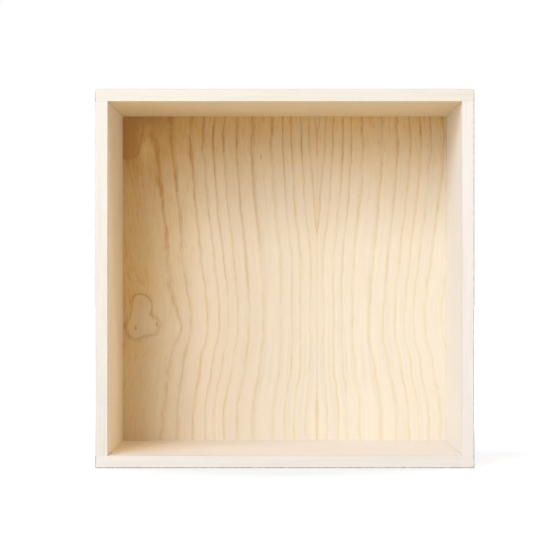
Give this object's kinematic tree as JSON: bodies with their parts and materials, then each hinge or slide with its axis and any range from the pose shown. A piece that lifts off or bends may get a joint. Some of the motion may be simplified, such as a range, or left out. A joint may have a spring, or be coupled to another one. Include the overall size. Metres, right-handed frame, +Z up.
{
  "type": "bookshelf",
  "caption": "Square open-fronted box shelf of veneered board: sides dowelled between top and bottom, lipped front edges, and a recessed back of book-matched veneer held in a groove.",
  "frame": {"origin": "middle of the base, on the floor", "axes": "+X to the right seen from the open front, +Y to the rear, +Z up"},
  "size_m": [0.43, 0.35, 0.43],
  "materials": {
    "ash_veneer": "pale ash veneer under a clear matt lacquer",
    "ash_lipping": "solid pale ash, sanded, clear matt lacquer",
    "fibreboard": "raw medium-density fibreboard",
    "beech_dowel": "raw fluted beech dowel"
  },
  "bodies": {
    "root": {"bottom_core": "fibreboard", "bottom_outer_veneer": "ash_veneer", "bottom_inner_veneer": "ash_veneer", "bottom_front_lipping": "ash_lipping", "bottom_rear_band": "ash_veneer", "bottom_left_end_band": "ash_veneer", "bottom_right_end_band": "ash_veneer", "top_core": "fibreboard", "top_outer_veneer": "ash_veneer", "top_inner_veneer": "ash_veneer", "top_front_lipping": "ash_lipping", "top_rear_band": "ash_veneer", "top_left_end_band": "ash_veneer", "top_right_end_band": "ash_veneer", "left_core": "fibreboard", "left_outer_veneer": "ash_veneer", "left_inner_veneer": "ash_veneer", "left_inner_veneer_rear": "ash_veneer", "left_front_lipping": "ash_lipping", "left_rear_band": "ash_veneer", "right_core": "fibreboard", "right_outer_veneer": "ash_veneer", "right_inner_veneer": "ash_veneer", "right_inner_veneer_rear": "ash_veneer", "right_front_lipping": "ash_lipping", "right_rear_band": "ash_veneer", "back_core": "fibreboard", "back_left_leaf": "ash_veneer", "back_right_leaf": "ash_veneer", "back_rear_veneer": "ash_veneer", "bottom_left_dowel_1": "beech_dowel", "bottom_left_dowel_2": "beech_dowel", "bottom_left_dowel_3": "beech_dowel", "bottom_right_dowel_1": "beech_dowel", "bottom_right_dowel_2": "beech_dowel", "bottom_right_dowel_3": "beech_dowel", "top_left_dowel_1": "beech_dowel", "top_left_dowel_2": "beech_dowel", "top_left_dowel_3": "beech_dowel", "top_right_dowel_1": "beech_dowel", "top_right_dowel_2": "beech_dowel", "top_right_dowel_3": "beech_dowel"}
  },
  "joints": []
}
